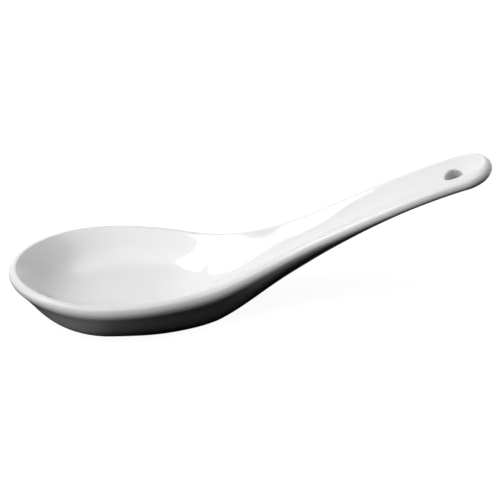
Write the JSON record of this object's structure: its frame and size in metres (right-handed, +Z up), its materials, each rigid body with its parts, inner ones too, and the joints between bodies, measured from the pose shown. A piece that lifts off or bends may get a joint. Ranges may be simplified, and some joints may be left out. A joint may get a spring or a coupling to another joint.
{
  "type": "chinese soup spoon",
  "caption": "Glazed porcelain soup spoon with an oval flat-bottomed bowl, a rising channelled handle and a round hanging hole near its end.",
  "frame": {"origin": "middle of the flat foot, on the table", "axes": "+X from the bowl towards the end of the handle, +Y across the spoon, +Z up"},
  "size_m": [0.135, 0.045, 0.043],
  "materials": {
    "porcelain": "bare fired porcelain, matt, seen on the foot",
    "glaze": "glossy white glaze"
  },
  "bodies": {
    "root": {"body": "porcelain", "glaze": "glaze"}
  },
  "joints": []
}
